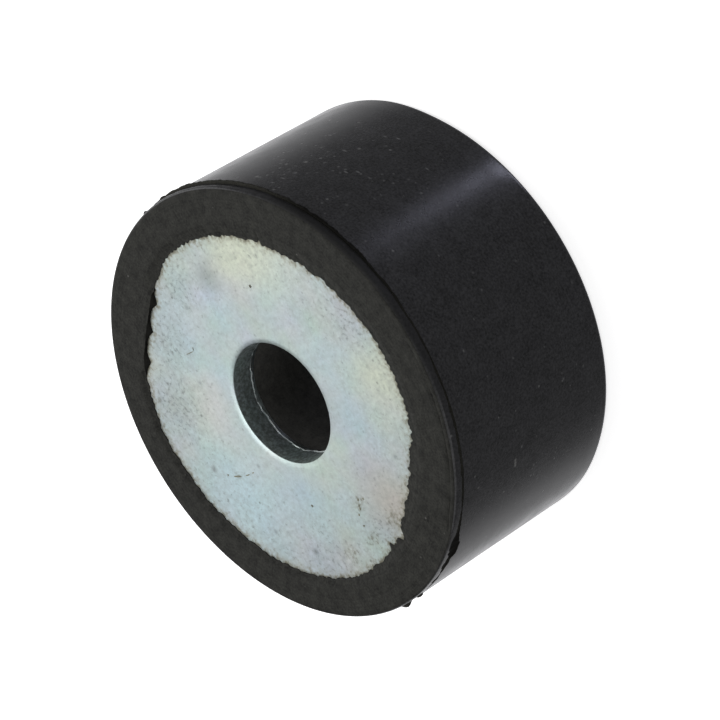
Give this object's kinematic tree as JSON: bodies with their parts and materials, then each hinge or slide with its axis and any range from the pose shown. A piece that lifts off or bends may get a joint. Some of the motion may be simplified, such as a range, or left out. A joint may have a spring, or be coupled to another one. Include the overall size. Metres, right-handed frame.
{
  "type": "anti-vibration mount",
  "caption": "Short round rubber mount with a zinc-plated steel plate bonded into each end and a plain through hole for one bolt; isolates vibration between two bolted parts.",
  "frame": {"origin": "centre of the rear end face, on the axis", "axes": "+Z along the axis from the rear end to the front plate; the fixed +X only sets where the film's edge and the flash lumps lie"},
  "size_m": [0.0408, 0.0402, 0.02],
  "materials": {
    "rubber": "moulded black rubber, satin side and matt end face",
    "zinc_steel": "zinc-plated, clear blue passivated, satin"
  },
  "bodies": {
    "root": {"rubber_body": "rubber", "front_plate": "zinc_steel", "rear_plate": "zinc_steel"}
  },
  "joints": []
}
